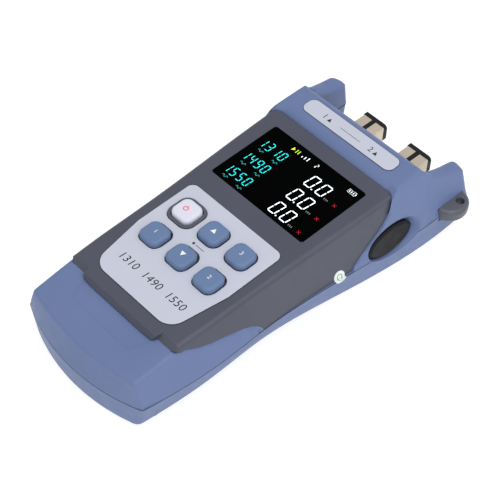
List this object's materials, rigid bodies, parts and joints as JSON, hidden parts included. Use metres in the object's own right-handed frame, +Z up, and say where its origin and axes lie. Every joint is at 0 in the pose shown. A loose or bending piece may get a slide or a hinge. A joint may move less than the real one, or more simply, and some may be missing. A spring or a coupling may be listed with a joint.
{
  "type": "optical power meter",
  "caption": "Handheld optical power meter lying on its back: blue two-part shell with a dark front bezel, colour display, keypad, two capped fibre ports between horns and a strap lug.",
  "frame": {"origin": "middle of the back face, on the surface that the meter lies on", "axes": "+X to the right seen from the front, +Y along the meter towards the fibre ports, +Z up out of the front"},
  "size_m": [0.0981, 0.1956, 0.0426],
  "materials": {
    "bezel_plastic": "fine satin moulding",
    "blue_shell": "fine satin moulding",
    "lower_blue_shell": "fine satin moulding",
    "window_acrylic": "polished, dark tint",
    "gasket_foam": "closed-cell foam",
    "display_glass": "smooth glass",
    "label_film": "printed polyester film",
    "head_label_film": "printed polyester film",
    "key_ring_plastic": "satin moulding",
    "key_plastic": "soft satin moulding",
    "power_key_plastic": "soft satin moulding",
    "plunger_plastic": "moulded",
    "board_laminate": "solder mask on laminate",
    "switch_plastic": "moulded",
    "screw_steel": "zinc plated",
    "adapter_alloy": "cast and nickel plated",
    "sleeve_ceramic": "polished ceramic",
    "detector_can": "plated can",
    "lug_plastic": "satin moulding",
    "socket_plastic": "moulded",
    "data_socket_steel": "plated shield",
    "cell_sleeve": "printed sleeve",
    "contact_plating": "nickel plated",
    "door_plastic": "fine satin moulding",
    "sticker_film": "printed paper film",
    "cap_rubber": "smooth rubber",
    "cover_rubber": "smooth rubber"
  },
  "bodies": {
    "housing": {"front_bezel": "bezel_plastic", "upper_shell": "blue_shell", "lower_shell": "lower_blue_shell", "display_window": "window_acrylic", "display_gasket": "gasket_foam", "display_module": "display_glass", "keypad_label": "label_film", "head_label": "head_label_film", "power_key_ring": "key_ring_plastic", "main_board": "board_laminate", "key_switches": "switch_plastic", "board_screws": "screw_steel", "shell_screws": "screw_steel", "adapter_left": "adapter_alloy", "adapter_right": "adapter_alloy", "alignment_sleeve_left": "sleeve_ceramic", "alignment_sleeve_right": "sleeve_ceramic", "detector_left": "detector_can", "detector_right": "detector_can", "strap_lug": "lug_plastic", "charge_socket": "socket_plastic", "data_socket": "data_socket_steel", "battery_cells": "cell_sleeve", "battery_contacts": "contact_plating", "contact_springs": "contact_plating", "battery_door": "door_plastic", "battery_door_screw": "screw_steel", "inspection_sticker": "sticker_film"},
    "power_key": {"power_key": "power_key_plastic", "power_plunger": "plunger_plastic"},
    "up_key": {"up_key": "key_plastic", "up_plunger": "plunger_plastic"},
    "upper_right_key": {"upper_right_key": "key_plastic", "upper_right_plunger": "plunger_plastic"},
    "lower_left_key": {"lower_left_key": "key_plastic", "lower_left_plunger": "plunger_plastic"},
    "down_key": {"down_key": "key_plastic", "down_plunger": "plunger_plastic"},
    "lower_right_key": {"lower_right_key": "key_plastic", "lower_right_plunger": "plunger_plastic"},
    "dust_cap_left": {"dust_cap_left": "cap_rubber"},
    "dust_cap_right": {"dust_cap_right": "cap_rubber"},
    "port_cover": {"port_cover": "cover_rubber"}
  },
  "joints": [
    {"name": "power_key_press", "type": "slide", "parent": "housing", "child": "power_key", "axis": [0, -0.0415, 0.9991], "range_m": [-0.001, 0], "stiffness_N_per_m": 300},
    {"name": "up_key_press", "type": "slide", "parent": "housing", "child": "up_key", "axis": [0, -0.0415, 0.9991], "range_m": [-0.001, 0], "stiffness_N_per_m": 300},
    {"name": "upper_right_key_press", "type": "slide", "parent": "housing", "child": "upper_right_key", "axis": [0, -0.0415, 0.9991], "range_m": [-0.001, 0], "stiffness_N_per_m": 300},
    {"name": "lower_left_key_press", "type": "slide", "parent": "housing", "child": "lower_left_key", "axis": [0, -0.0415, 0.9991], "range_m": [-0.001, 0], "stiffness_N_per_m": 300},
    {"name": "down_key_press", "type": "slide", "parent": "housing", "child": "down_key", "axis": [0, -0.0415, 0.9991], "range_m": [-0.001, 0], "stiffness_N_per_m": 300},
    {"name": "lower_right_key_press", "type": "slide", "parent": "housing", "child": "lower_right_key", "axis": [0, -0.0415, 0.9991], "range_m": [-0.001, 0], "stiffness_N_per_m": 300},
    {"name": "dust_cap_left_pull", "type": "slide", "parent": "housing", "child": "dust_cap_left", "axis": [0, 1, 0], "range_m": [0, 0.012]},
    {"name": "dust_cap_right_pull", "type": "slide", "parent": "housing", "child": "dust_cap_right", "axis": [0, 1, 0], "range_m": [0, 0.012]},
    {"name": "port_cover_pull", "type": "slide", "parent": "housing", "child": "port_cover", "axis": [0.9903, 0, 0.1392], "range_m": [0, 0.008]}
  ]
}
